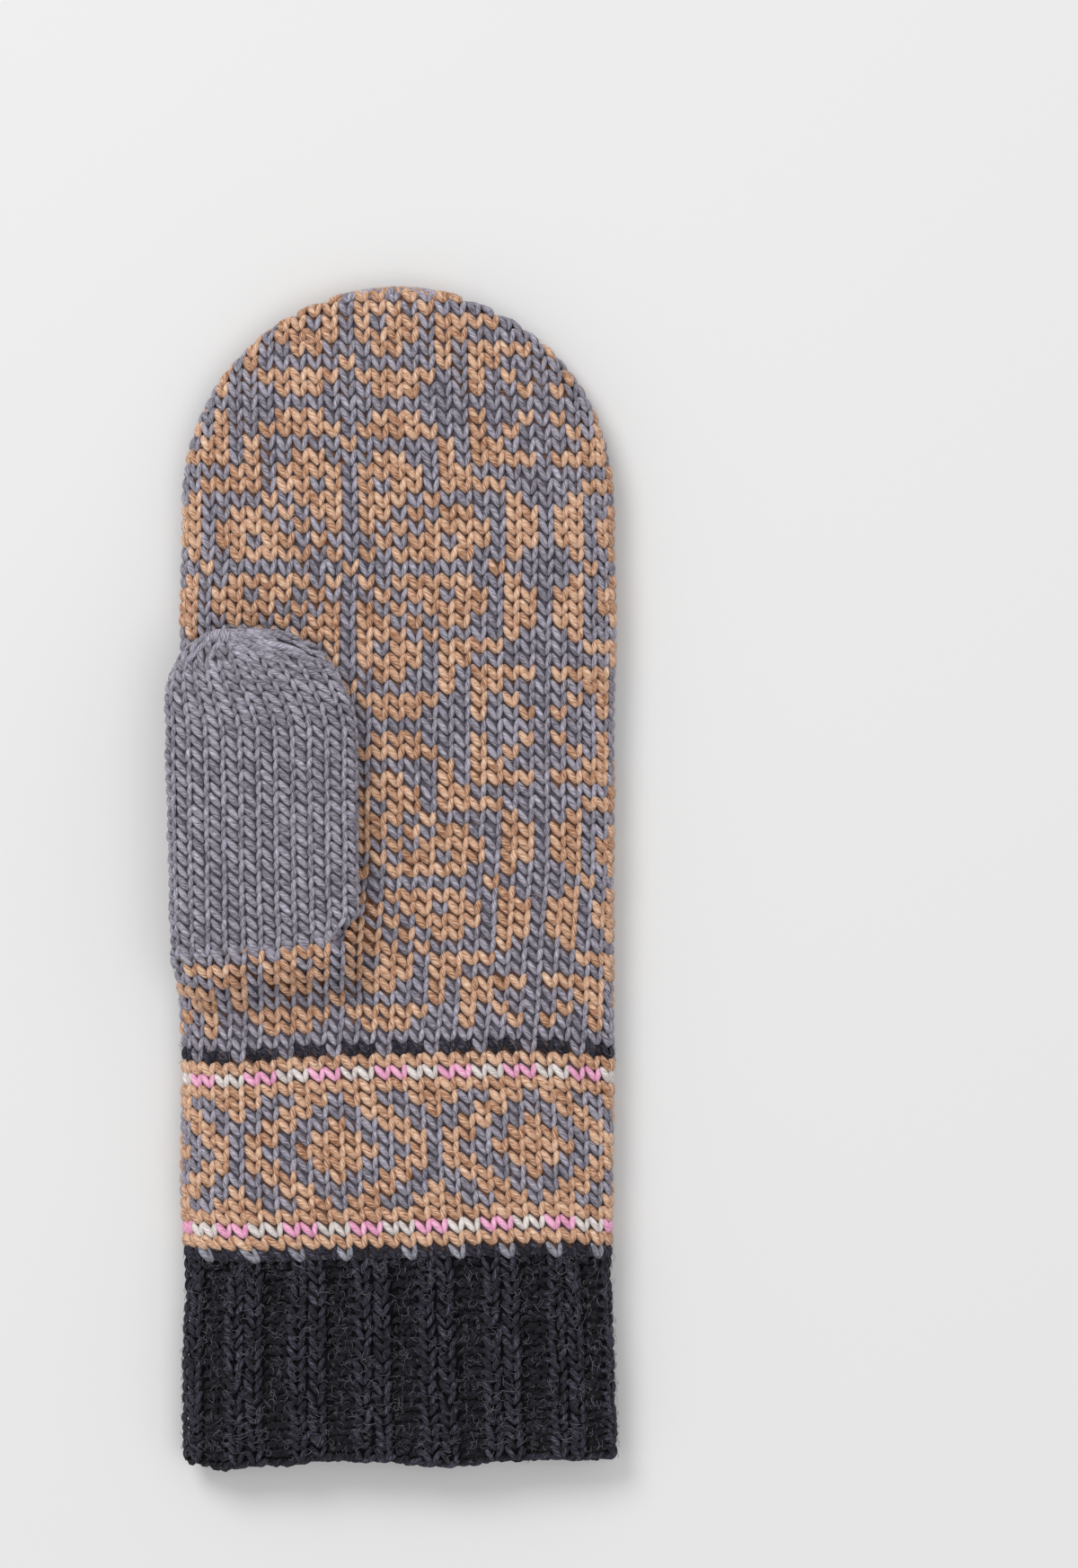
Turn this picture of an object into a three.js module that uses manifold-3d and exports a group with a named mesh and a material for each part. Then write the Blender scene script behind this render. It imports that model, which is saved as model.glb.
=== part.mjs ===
// A hand-knitted mitten for the left hand, lying on its back with the palm and the thumb up.
// Millimetres, +Z up, +Y towards the fingertips, the thumb on the side of -X.
// The origin is on the surface it lies on, in the middle of its footprint.
import * as THREE from 'three';
import Module from 'manifold-3d';

const wasm = await Module();
wasm.setup();

// Body: one flattened tube from the cast-on edge to the rounded tip
const cuffLength = 49.2;
const bandLength = 49;
const straightLength = 127.3;
const crownLength = 50;
const bodyWidth = 101.6;
const bodyThickness = 13.5;
const sideHeight = 6;
const bottomCorner = 11;
const handWall = 3.3;

// Ribbed cuff
const ribRepeats = 15;
const ribDepth = 1.1;
const cuffWall = 3.0;

// Thumb, knitted out of a slit in the palm and folded up over it
const thumbWidth = 44.6;
const thumbThickness = 10.4;
const thumbStraight = 48;
const thumbTip = 26;
const thumbWall = 2.4;
const thumbOverhang = 1.8;
const slitAboveBand = 23.6;
const slitTilt = THREE.MathUtils.degToRad(7);
const thumbTilt = THREE.MathUtils.degToRad(2.5);
const rampAboveBand = 4;

// Gap between pieces that touch
const clearance = 0.3;

// Outline of the body: along is a share of the length before the crown, width of bodyWidth,
// shift of bodyWidth, thickness of bodyThickness
const bodySections = [
  { along: 0.0, width: 0.999, shift: 0.012, thickness: 1.04 },
  { along: 0.09, width: 0.992, shift: 0.008, thickness: 1.06 },
  { along: 0.2, width: 0.979, shift: 0.006, thickness: 1.05 },
  { along: 0.3, width: 0.993, shift: 0.003, thickness: 1.02 },
  { along: 0.42, width: 0.992, shift: 0.006, thickness: 0.98 },
  { along: 0.53, width: 1.0, shift: 0.0, thickness: 1.0 },
  { along: 0.75, width: 0.997, shift: 0.004, thickness: 1.03 },
  { along: 0.88, width: 1.0, shift: 0.006, thickness: 1.0 },
  { along: 1.0, width: 0.99, shift: 0.006, thickness: 1.0 },
];

// Outline of the thumb: along is a share of its length, width and shift of thumbWidth
const thumbSections = [
  { along: 0.0, width: 0.98, shift: 0.01 },
  { along: 0.2, width: 0.985, shift: 0.005 },
  { along: 0.45, width: 0.995, shift: 0.0 },
  { along: 0.65, width: 1.0, shift: -0.005 },
  { along: 0.9, width: 1.0, shift: -0.05 },
  { along: 1.0, width: 1.0, shift: -0.07 },
];

// Shape of the sections, as powers of a superellipse
const topFlatness = 3.4;
const thumbFlatness = 2.8;
const crownFullness = 2.0;
const thumbTipFullness = 2.5;
const tipThickness = 0.45;

// Widths of the lifted palm as shares of the thumb's, where it ends and at its foot
const rampEndWidth = 0.78;
const rampFootWidth = 0.9;

// Facets
const topFacets = 20;
const cornerFacets = 4;
const floorFacets = 4;
const thumbFacets = 26;
const pointsPerRib = 6;
const bodyStep = 11;
const crownSteps = 9;
const thumbStep = 8;
const rampStep = 3.5;

const crownStart = cuffLength + bandLength + straightLength;
const totalLength = crownStart + crownLength;
const slitAlong = cuffLength + bandLength + slitAboveBand;
const thumbLength = thumbStraight + thumbTip;
const thumbCentre = -bodyWidth / 2 - thumbOverhang + thumbWidth / 2;
const slitDrop = (Math.tan(slitTilt) * thumbWidth) / 2;
const rampLength = slitAboveBand - slitDrop - rampAboveBand;
const rampWall = thumbWall;
const passageDepth = 2.1 * rampWall;
const rampLevelPart = 0.6 * passageDepth;

// Value of a named column at a share of the length, between the rows of a table
function between(table, column, share) {
  const last = table.length - 1;
  const next = Math.max(1, table.findIndex((row, i) => i === last || row.along >= share));
  const [a, b] = [table[next - 1], table[next]];
  const t = THREE.MathUtils.clamp((share - a.along) / (b.along - a.along), 0, 1);
  return THREE.MathUtils.lerp(a[column], b[column], THREE.MathUtils.smoothstep(t, 0, 1));
}

function power(value, flatness) {
  return Math.sign(value) * Math.pow(Math.abs(value), 2 / flatness);
}

// How wide a rounded end still is at a share of the way to its tip
function narrowing(past, fullness) {
  return Math.pow(Math.max(0, 1 - Math.pow(past, fullness)), 1 / fullness);
}

// The body's section at a distance from the cast-on edge, drawn in from its outer surface by inset
function bodySection(along, inset) {
  const share = along / crownStart;
  const past = Math.min(1, Math.max(0, along - crownStart) / (crownLength - inset));
  const narrow = narrowing(past, crownFullness);
  const thin = Math.pow(narrow, tipThickness);
  const halfWidth = (bodyWidth * between(bodySections, 'width', share)) / 2 - inset;
  const thickness = bodyThickness * between(bodySections, 'thickness', share);
  return {
    centre: bodyWidth * between(bodySections, 'shift', share),
    halfWidth: halfWidth * narrow,
    top: sideHeight + (thickness - inset - sideHeight) * thin,
    bottom: sideHeight - (sideHeight - inset) * thin,
    corner: (bottomCorner - inset) * narrow,
  };
}

// Ring of points round a body section: over the top from +X to -X, then back along the floor
function bodyRing(along, inset) {
  const s = bodySection(along, inset);
  const ring = [];
  for (let i = 0; i < topFacets; i += 1) {
    const t = (Math.PI * i) / topFacets;
    const x = s.centre + s.halfWidth * power(Math.cos(t), topFlatness);
    const z = sideHeight + (s.top - sideHeight) * power(Math.sin(t), topFlatness);
    ring.push(new THREE.Vector2(x, z));
  }
  const flat = s.halfWidth - s.corner;
  for (const side of [-1, 1]) {
    for (let i = 0; i < cornerFacets; i += 1) {
      const t = (Math.PI / 2) * ((side < 0 ? i : cornerFacets - i) / cornerFacets);
      const x = s.centre + side * (flat + s.corner * Math.cos(t));
      const z = sideHeight - (sideHeight - s.bottom) * Math.sin(t);
      ring.push(new THREE.Vector2(x, z));
    }
    for (let i = 0; side < 0 && i < floorFacets; i += 1) {
      const x = s.centre + THREE.MathUtils.lerp(-flat, flat, i / floorFacets);
      ring.push(new THREE.Vector2(x, s.bottom));
    }
  }
  return ring;
}

// Height of the palm's outer surface
function palmHeight(x, along) {
  const s = bodySection(along, 0);
  const across = Math.min(1, Math.abs(x - s.centre) / s.halfWidth);
  return sideHeight + (s.top - sideHeight) * narrowing(across, topFlatness);
}

// How far the lifted palm has sunk back at a distance before the slit, from 0 to 1: it stays level
// over the way into the thumb
function sunk(before) {
  return THREE.MathUtils.smoothstep(before, rampLevelPart, rampLength);
}

const thumbFloor = palmHeight(thumbCentre, slitAlong) + clearance;

// The thumb's section at a distance above the slit
function thumbSection(above, inset) {
  const share = above / thumbLength;
  const past = Math.min(1, Math.max(0, above - thumbStraight) / (thumbTip - inset));
  const narrow = narrowing(past, thumbTipFullness);
  const thin = Math.pow(narrow, tipThickness);
  return {
    centre: thumbCentre + thumbWidth * between(thumbSections, 'shift', share),
    halfWidth: ((thumbWidth * between(thumbSections, 'width', share)) / 2 - inset) * narrow,
    middle: thumbFloor + thumbThickness / 2,
    halfHeight: (thumbThickness / 2 - inset) * thin,
  };
}

// The thumb leans out over the side of the palm
function leaned(x, z) {
  const about = new THREE.Vector2(thumbCentre, thumbFloor);
  return new THREE.Vector2(x, z).rotateAround(about, thumbTilt);
}

function thumbRing(above, inset) {
  const s = thumbSection(above, inset);
  const ring = [];
  for (let i = 0; i < thumbFacets; i += 1) {
    const t = (2 * Math.PI * i) / thumbFacets;
    const x = s.centre + s.halfWidth * power(Math.cos(t), thumbFlatness);
    const z = s.middle + s.halfHeight * power(Math.sin(t), thumbFlatness);
    ring.push(leaned(x, z));
  }
  return ring;
}

// The lifted palm below the slit: as high and wide as the thumb, then narrower as it sinks
function rampRing(before, inset) {
  const s = thumbSection(0, inset);
  const level = sunk(before);
  const halfWidth = s.halfWidth * THREE.MathUtils.lerp(1, rampEndWidth, level);
  const centre = s.centre + (s.halfWidth * (1 - rampEndWidth) * level) / 2;
  const sink = (thumbThickness + clearance + rampWall) * level;
  const middle = Math.max(sideHeight, s.middle - sink);
  const top = Math.max(middle, s.middle + s.halfHeight - sink);
  const ring = [];
  for (let i = 0; i <= thumbFacets / 2; i += 1) {
    const t = (2 * Math.PI * i) / thumbFacets;
    const x = centre + halfWidth * power(Math.cos(t), thumbFlatness);
    const z = middle + (top - middle) * power(Math.sin(t), thumbFlatness);
    ring.push(leaned(x, z));
  }
  const foot = sideHeight - clearance;
  ring.push(new THREE.Vector2(centre - halfWidth * rampFootWidth, foot));
  ring.push(new THREE.Vector2(centre + halfWidth * rampFootWidth, foot));
  return ring;
}

// Closed solid through rings of points, each at its own place along Y. Rings that go back along Y
// line a hollow. The first and last ring are capped, or joined to each other for a sleeve.
function loft(stations, joined = false) {
  const count = stations[0].ring.length;
  const vertices = [];
  for (const { y, ring } of stations) {
    ring.forEach((p) => vertices.push(p.x, typeof y === 'function' ? y(p.x) : y, p.y));
  }
  const triangles = [];
  for (let k = 0; k < stations.length - (joined ? 0 : 1); k += 1) {
    const next = (((k + 1) % stations.length) - k) * count;
    for (let i = 0; i < count; i += 1) {
      const [a, b] = [k * count + i, k * count + ((i + 1) % count)];
      triangles.push(a, a + next, b + next, a, b + next, b);
    }
  }
  for (const [k, outwards] of joined ? [] : [[0, false], [stations.length - 1, true]]) {
    const middle = vertices.length / 3;
    const sum = [0, 0, 0];
    for (let i = 0; i < 3 * count; i += 1) sum[i % 3] += vertices[3 * k * count + i];
    vertices.push(...sum.map((v) => v / count));
    for (let i = 0; i < count; i += 1) {
      const [a, b] = [k * count + i, k * count + ((i + 1) % count)];
      triangles.push(middle, outwards ? b : a, outwards ? a : b);
    }
  }
  return new wasm.Manifold(new wasm.Mesh({
    numProp: 3,
    vertProperties: Float32Array.from(vertices),
    triVerts: Uint32Array.from(triangles),
  }));
}

// Knitted tube between an outer surface and the lining of its hollow
function walled(outer, inner, openBothEnds = false) {
  return loft([...inner.reverse(), ...outer], openBothEnds);
}

// Distances from start to end in steps of about the given length
function steps(start, end, length) {
  const count = Math.max(1, Math.round((end - start) / length));
  return Array.from({ length: count + 1 }, (_, i) => THREE.MathUtils.lerp(start, end, i / count));
}

// Distances that follow a rounded end, closer together towards its tip
function roundedSteps(start, reach, count) {
  const nearTip = 0.995;
  return Array.from({ length: count }, (_, i) => {
    const turn = (Math.PI / 2) * ((i + 1) / count);
    return start + reach * Math.min(nearTip, Math.sin(turn));
  });
}

function bodyStations(start, end, inset) {
  const places = steps(start, Math.min(end, crownStart), bodyStep);
  if (end > crownStart) places.push(...roundedSteps(crownStart, crownLength - inset, crownSteps));
  return places.map((y) => ({ y, ring: bodyRing(y, inset) }));
}

// Slit line across the palm, which climbs towards the middle of the hand
function slitAt(x) {
  return slitAlong + Math.tan(slitTilt) * (x - thumbCentre);
}

function thumbStations(start, inset) {
  const places = steps(start, thumbStraight, thumbStep);
  places.push(...roundedSteps(thumbStraight, thumbTip - inset, crownSteps));
  const slanted = (above) => (x) => {
    const straight = THREE.MathUtils.clamp(1 - above / thumbStraight, 0, 1);
    return slitAlong + above + (slitAt(x) - slitAlong) * straight;
  };
  return places.map((above) => ({ y: slanted(above), ring: thumbRing(above, inset) }));
}

function rampStations(end, inset) {
  const places = steps(end, rampLength, rampStep).reverse();
  return places.map((before) => ({ y: (x) => slitAt(x) - before, ring: rampRing(before, inset) }));
}

// Points round a ring at even distances, from the middle of its top, moved in by the rib's depth
function ribbed(ring) {
  const turned = [...ring.slice(topFacets / 2), ...ring.slice(0, topFacets / 2)];
  const corners = turned.map((p) => new THREE.Vector3(p.x, p.y, 0));
  const slack = 0;
  const lengthsPerCorner = 20;
  const outline = new THREE.CatmullRomCurve3(corners, true, 'catmullrom', slack);
  outline.arcLengthDivisions = lengthsPerCorner * corners.length;
  const count = ribRepeats * pointsPerRib;
  return Array.from({ length: count }, (_, i) => {
    const share = (i + 0.5) / count;
    const point = outline.getPointAt(share);
    const along = outline.getTangentAt(share);
    const inPurl = i % pointsPerRib >= pointsPerRib / 2;
    const depth = inPurl ? ribDepth : 0;
    return new THREE.Vector2(point.x - along.y * depth, point.y + along.x * depth);
  });
}

function makeCuff() {
  const stations = (inset) => steps(0, cuffLength - clearance / 2, bodyStep)
    .map((y) => ({ y, ring: ribbed(bodyRing(y, inset)) }));
  return walled(stations(0), stations(cuffWall), true);
}

function makeBorderBand() {
  const start = cuffLength + clearance / 2;
  const end = cuffLength + bandLength - clearance / 2;
  return walled(bodyStations(start, end, 0), bodyStations(start, end, handWall), true);
}

function makeHand() {
  const start = cuffLength + bandLength + clearance / 2;
  const shell = walled(bodyStations(start, totalLength, 0), bodyStations(start, totalLength, handWall));
  const hollow = loft(bodyStations(start, totalLength, handWall));
  const ramp = loft(rampStations(clearance / 2, 0)).subtract(hollow);
  const lifted = loft(rampStations(rampWall, rampWall));
  const passage = loft(thumbStations(-passageDepth, thumbWall));
  return shell.add(ramp).subtract(lifted).subtract(passage);
}

function makeThumb() {
  const tube = walled(thumbStations(clearance / 2, 0), thumbStations(clearance / 2, thumbWall));
  const palm = loft(bodyStations(slitAlong - rampLength, totalLength, 0));
  return tube.subtract(palm.translate([0, 0, clearance]));
}

function asMesh(name, solid, material) {
  const { vertProperties, triVerts } = solid.getMesh();
  const geometry = new THREE.BufferGeometry();
  geometry.setAttribute('position', new THREE.BufferAttribute(Float32Array.from(vertProperties), 3));
  geometry.setIndex(new THREE.BufferAttribute(Uint32Array.from(triVerts), 1));
  geometry.computeVertexNormals();
  const mesh = new THREE.Mesh(geometry, material);
  mesh.name = name;
  return mesh;
}

const wool = { metalness: 0, roughness: 0.95 };
const charcoalWool = new THREE.MeshStandardMaterial({ color: 0x2a292e, ...wool });
const tanWool = new THREE.MeshStandardMaterial({ color: 0xd1a378, ...wool });
const patternedWool = new THREE.MeshStandardMaterial({ color: 0xab9284, ...wool });
const greyWool = new THREE.MeshStandardMaterial({ color: 0x85818d, ...wool });

const mitten = new THREE.Group();
mitten.name = 'mitten';
mitten.add(asMesh('cuff', makeCuff(), charcoalWool));
mitten.add(asMesh('border_band', makeBorderBand(), tanWool));
mitten.add(asMesh('hand', makeHand(), patternedWool));
mitten.add(asMesh('thumb', makeThumb(), greyWool));

// The footprint's middle comes to the origin
const footprint = new THREE.Box3().setFromObject(mitten);
const middle = footprint.getCenter(new THREE.Vector3());
mitten.position.set(-middle.x, -middle.y, -footprint.min.z);
mitten.updateMatrixWorld(true);

export default mitten;
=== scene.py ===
"""A hand-knitted mitten, palm up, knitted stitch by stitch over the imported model."""

import math
from functools import partial

import bpy
import numpy as np
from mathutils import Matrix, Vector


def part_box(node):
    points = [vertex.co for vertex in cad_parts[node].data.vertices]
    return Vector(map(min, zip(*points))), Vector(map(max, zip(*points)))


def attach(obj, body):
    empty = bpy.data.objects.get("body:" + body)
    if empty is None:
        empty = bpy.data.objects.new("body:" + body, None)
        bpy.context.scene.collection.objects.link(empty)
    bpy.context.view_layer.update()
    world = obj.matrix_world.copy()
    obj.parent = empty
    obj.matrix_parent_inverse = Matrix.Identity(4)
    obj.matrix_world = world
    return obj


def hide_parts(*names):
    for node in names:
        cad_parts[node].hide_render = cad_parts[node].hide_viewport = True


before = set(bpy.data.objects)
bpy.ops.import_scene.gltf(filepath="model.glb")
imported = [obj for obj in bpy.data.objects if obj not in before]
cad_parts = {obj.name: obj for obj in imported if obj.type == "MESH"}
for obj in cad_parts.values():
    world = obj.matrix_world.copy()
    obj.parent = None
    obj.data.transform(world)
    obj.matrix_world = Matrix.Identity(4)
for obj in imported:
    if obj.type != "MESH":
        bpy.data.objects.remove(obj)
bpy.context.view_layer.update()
rng = np.random.default_rng(24)

MM = 0.001

# Sizes of the part, in millimetres, as in its source
CUFF_LENGTH = 49.2
BAND_LENGTH = 49.0
STRAIGHT_LENGTH = 127.3
CROWN_LENGTH = 50.0
BODY_WIDTH = 101.6
BODY_THICKNESS = 13.5
SIDE_HEIGHT = 6.0
BOTTOM_CORNER = 11.0
THUMB_WIDTH = 44.6
THUMB_THICKNESS = 10.4
THUMB_STRAIGHT = 48.0
THUMB_TIP = 26.0
THUMB_OVERHANG = 1.8
THUMB_CORNER_WIDTH = 3.9
THUMB_CORNER_LENGTH = 5.3
SLIT_ABOVE_BAND = 23.6
SLIT_TILT = math.radians(7)
THUMB_TILT = math.radians(2.5)
RAMP_LEVEL_PART = 3.0
RAMP_LENGTH = 16.9
RAMP_END_WIDTH = 0.78
CLEARANCE = 0.3
TOP_FLATNESS = 3.4
THUMB_FLATNESS = 2.8
THUMB_TIP_FULLNESS = 2.5
TIP_THICKNESS = 0.45
CROWN_START = CUFF_LENGTH + BAND_LENGTH + STRAIGHT_LENGTH
TOTAL_LENGTH = CROWN_START + CROWN_LENGTH
SLIT_ALONG = CUFF_LENGTH + BAND_LENGTH + SLIT_ABOVE_BAND
THUMB_LENGTH = THUMB_STRAIGHT + THUMB_TIP
THUMB_CENTRE = -BODY_WIDTH / 2 - THUMB_OVERHANG + THUMB_WIDTH / 2

# Outline of the body: share of the length before the crown, width, shift, thickness
BODY_SECTIONS = np.array([
    [0.0, 0.999, 0.012, 1.04],
    [0.09, 0.992, 0.008, 1.06],
    [0.2, 0.979, 0.006, 1.05],
    [0.3, 0.993, 0.003, 1.02],
    [0.42, 0.992, 0.006, 0.98],
    [0.53, 1.0, 0.0, 1.0],
    [0.75, 0.997, 0.004, 1.03],
    [0.88, 1.0, 0.006, 1.0],
    [1.0, 0.99, 0.006, 1.0],
])
# Outline of the thumb: share of its length, width, shift
THUMB_SECTIONS = np.array([
    [0.0, 0.98, 0.01],
    [0.2, 0.985, 0.005],
    [0.45, 0.995, 0.0],
    [0.65, 1.0, -0.005],
    [0.9, 1.0, -0.05],
    [1.0, 1.0, -0.07],
])

# Knitting
STITCHES_ROUND = 60
CUFF_ROWS = 19
BAND_ROWS = 17
HAND_START = CUFF_ROWS + BAND_ROWS
ROWS_BELOW_CHART_ZERO = 36
ROWS_ABOVE_CHART_ZERO = 21
CHART_ZERO_ALONG = 208.4
CHART_CENTRE = 3.05
RIB_CENTRE = -1.6
THUMB_STITCHES = 24
THUMB_EVEN_ROWS = 25
THUMB_ROW = 2.57
THUMB_TIP_ROWS = 3.8

# The repeat of the hand, folded about its row 0 and column 0
HAND_CHART = [
    "#........#...",
    ".#.#####..#..",
    "..#.##.##.##.",
    ".#.#.####.##.",
    ".##.#.##..##.",
    ".###.#....#..",
    ".#.##.####...",
    ".####.##.....",
    "..##..#.####.",
    "#.....#.##...",
    ".#####..#.#..",
    "..###...#..#.",
    ".............",
]
# The repeat of the border, folded about its last row here and about columns 0 and 6
BORDER_CHART = ["#######", ".##..##", "..##..#", "#..##..", "##..##.", "###..#."]

YARNS = ["tan", "grey", "charcoal", "tick", "pink", "white"]
TAN, GREY, CHARCOAL, TICK, PINK, WHITE = range(len(YARNS))


def smooth(t):
    t = np.clip(t, 0, 1)
    return t * t * (3 - 2 * t)


def mix(a, b, t):
    return a + (b - a) * t


def between(table, share):
    """Columns of a table at shares of the length, eased between the given rows."""
    share = np.asarray(share, float)
    i = np.clip(np.searchsorted(table[:, 0], share, side="left"), 1, len(table) - 1)
    a, b = table[i - 1], table[i]
    t = smooth((share - a[..., 0]) / (b[..., 0] - a[..., 0]))[..., None]
    return np.moveaxis(mix(a[..., 1:], b[..., 1:], t), -1, 0)


def arc(flatness, count=150):
    """Quarter of a superellipse from the middle of its top to its side, as unit offsets."""
    across = np.sin(np.linspace(0, math.pi / 2, count))
    return across, (1 - across ** flatness) ** (1 / flatness)


class Tube:
    """Positions on a flattened tube over a place along it and a share of the way round.

    Each section is the same on both sides of its centre. The share runs from the middle of the
    top by way of +X to the middle of the bottom at 0.5, and back up the other side to 1.
    """

    EVEN = 256

    def __init__(self, along, centre, offsets, heights):
        self.along = along
        self.centre = centre
        step = np.hypot(np.diff(offsets, axis=1), np.diff(heights, axis=1))
        length = np.concatenate([np.zeros((len(along), 1)), np.cumsum(step, axis=1)], axis=1)
        self.round = 2 * length[:, -1]
        even = np.linspace(0, 1, self.EVEN + 1)
        rows = zip(length, offsets, heights)
        both = [[np.interp(even * s[-1], s, o), np.interp(even * s[-1], s, h)] for s, o, h in rows]
        self.grid = np.array(both)

    def perimeter(self, along):
        return np.interp(along, self.along, self.round)

    def at(self, along, share):
        """Centre, signed offset and height."""
        along = np.clip(along, self.along[0], self.along[-1])
        share = np.mod(share, 1.0)
        far = share > 0.5
        way = np.where(far, 1 - share, share) * 2 * self.EVEN
        j = np.minimum(way.astype(int), self.EVEN - 1)
        q = way - j
        i = np.clip(np.searchsorted(self.along, along, side="right") - 1, 0, len(self.along) - 2)
        p = (along - self.along[i]) / (self.along[i + 1] - self.along[i])
        low = mix(self.grid[i, :, j], self.grid[i, :, j + 1], q[..., None])
        high = mix(self.grid[i + 1, :, j], self.grid[i + 1, :, j + 1], q[..., None])
        value = mix(low, high, p[..., None])
        centre = mix(self.centre[i], self.centre[i + 1], p)
        return centre, np.where(far, -1, 1) * value[..., 0], value[..., 1]


def rounded_places(straight, tip):
    """Places along a tube, closer together over its rounded end."""
    turn = np.linspace(0, math.pi / 2, 70)[1:-1]
    end = straight + tip * np.sin(turn)
    return np.concatenate([np.arange(-4, straight, 2.0), [straight], end])


def body_tube(inset):
    along = rounded_places(CROWN_START, CROWN_LENGTH - inset)
    width, shift, thickness = between(BODY_SECTIONS, along / CROWN_START)
    past = np.maximum(0, along - CROWN_START) / (CROWN_LENGTH - inset)
    narrow = np.sqrt(1 - past ** 2)
    thin = narrow ** TIP_THICKNESS
    half = (BODY_WIDTH * width / 2 - inset) * narrow
    rise = (BODY_THICKNESS * thickness - inset - SIDE_HEIGHT) * thin
    drop = (SIDE_HEIGHT - inset) * thin
    corner = (BOTTOM_CORNER - inset) * narrow
    across, height = arc(TOP_FLATNESS)
    turn = np.linspace(0, math.pi / 2, 40)[1:]
    offsets = np.concatenate([
        half[:, None] * across,
        (half - corner)[:, None] + corner[:, None] * np.cos(turn),
        np.zeros((len(along), 1)),
    ], axis=1)
    heights = SIDE_HEIGHT + np.concatenate([
        rise[:, None] * height,
        -drop[:, None] * np.sin(turn),
        -drop[:, None],
    ], axis=1)
    return Tube(along, BODY_WIDTH * shift, offsets, heights)


def thumb_tube(inset):
    along = rounded_places(THUMB_STRAIGHT, THUMB_TIP - inset)
    width, shift = between(THUMB_SECTIONS, along / THUMB_LENGTH)
    past = np.maximum(0, along - THUMB_STRAIGHT) / (THUMB_TIP - inset)
    narrow = (1 - past ** THUMB_TIP_FULLNESS) ** (1 / THUMB_TIP_FULLNESS)
    half = (THUMB_WIDTH * width / 2 - inset) * narrow
    rise = (THUMB_THICKNESS / 2 - inset) * narrow ** TIP_THICKNESS
    across, height = arc(THUMB_FLATNESS)
    offsets = half[:, None] * np.concatenate([across, across[-2::-1]])
    heights = THUMB_MIDDLE + rise[:, None] * np.concatenate([height, -height[-2::-1]])
    return Tube(along, THUMB_CENTRE + THUMB_WIDTH * shift, offsets, heights)


def slit_at(x):
    return SLIT_ALONG + math.tan(SLIT_TILT) * (x - THUMB_CENTRE)


body_tubes = {}


def body(inset=0.0):
    if inset not in body_tubes:
        body_tubes[inset] = body_tube(inset)
    return body_tubes[inset]


palm = body().at(np.array([SLIT_ALONG]), np.array([0.0]))
slit_section = between(BODY_SECTIONS, SLIT_ALONG / CROWN_START)
palm_across = abs(THUMB_CENTRE - palm[0][0]) / (BODY_WIDTH * slit_section[0] / 2)
palm_rise = (1 - palm_across ** TOP_FLATNESS) ** (1 / TOP_FLATNESS)
THUMB_FLOOR = SIDE_HEIGHT + (palm[2][0] - SIDE_HEIGHT) * palm_rise + CLEARANCE
THUMB_MIDDLE = THUMB_FLOOR + THUMB_THICKNESS / 2

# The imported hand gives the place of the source's zero
hand_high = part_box("hand")[1]
cuff_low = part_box("cuff")[0]
sections = body()
widest = sections.centre + np.max(sections.grid[:, 0], axis=1)
ZERO_X = hand_high[0] / MM - np.max(widest[sections.along > CUFF_LENGTH + BAND_LENGTH])
ZERO_Y = cuff_low[1] / MM


def placed(x, along, z):
    return np.stack([x + ZERO_X, along + ZERO_Y, z], axis=-1)


ROW_PLACES = np.concatenate([
    [-2.6],
    np.linspace(0, CUFF_LENGTH, CUFF_ROWS + 1)[:-1],
    np.linspace(CUFF_LENGTH, CUFF_LENGTH + BAND_LENGTH, BAND_ROWS + 1)[:-1],
    np.linspace(CUFF_LENGTH + BAND_LENGTH, CHART_ZERO_ALONG, ROWS_BELOW_CHART_ZERO + 1)[:-1],
    np.linspace(CHART_ZERO_ALONG, TOTAL_LENGTH, ROWS_ABOVE_CHART_ZERO + 1),
    [TOTAL_LENGTH + 3.2],
])
ROWS = len(ROW_PLACES) - 3
CHART_ZERO = HAND_START + ROWS_BELOW_CHART_ZERO
CROWN_PITCH = float(body().perimeter(CROWN_START)) / STITCHES_ROUND
CROWN_ROW = float(np.interp(CROWN_START, ROW_PLACES, np.arange(-1, ROWS + 2)))
THUMB_PLACES = np.concatenate([
    [-THUMB_ROW],
    THUMB_ROW * np.arange(THUMB_EVEN_ROWS + 1),
    [THUMB_LENGTH],
])
THUMB_ROW_NUMBERS = np.concatenate([
    np.arange(-1, THUMB_EVEN_ROWS + 1), [THUMB_EVEN_ROWS + THUMB_TIP_ROWS]])


class Unevenness:
    """Smooth random field over columns and rows, about -1 to 1."""

    def __init__(self, columns, rows, wide, tall):
        self.wide = wide
        self.tall = tall
        self.values = rng.uniform(-1, 1, (int(rows / tall) + 4, int(columns / wide) + 4))

    def at(self, u, v):
        h, w = self.values.shape
        p = np.mod(v / self.tall + 1, h)
        q = np.mod(u / self.wide + 1, w)
        i, j = p.astype(int) % h, q.astype(int) % w
        p, q = smooth(p % 1), smooth(q % 1)
        top = mix(self.values[i, j], self.values[i, (j + 1) % w], q)
        low = mix(self.values[(i + 1) % h, j], self.values[(i + 1) % h, (j + 1) % w], q)
        return mix(top, low, p)


sway_across = Unevenness(STITCHES_ROUND, ROWS, 3, 7)
sway_along = Unevenness(STITCHES_ROUND, ROWS, 5, 3)
puff = Unevenness(STITCHES_ROUND, ROWS, 4, 4)


def rib_phase(u):
    """Place in the rib of two knit and two purl columns: -1 to 1 is knit, 1 to 3 is purl."""
    return np.mod(u - RIB_CENTRE + 1, 4) - 1


def in_rib(v):
    return smooth((CUFF_ROWS + 0.4 - v) / 1.5)


KNIT_WIDENING = 0.17


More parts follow.
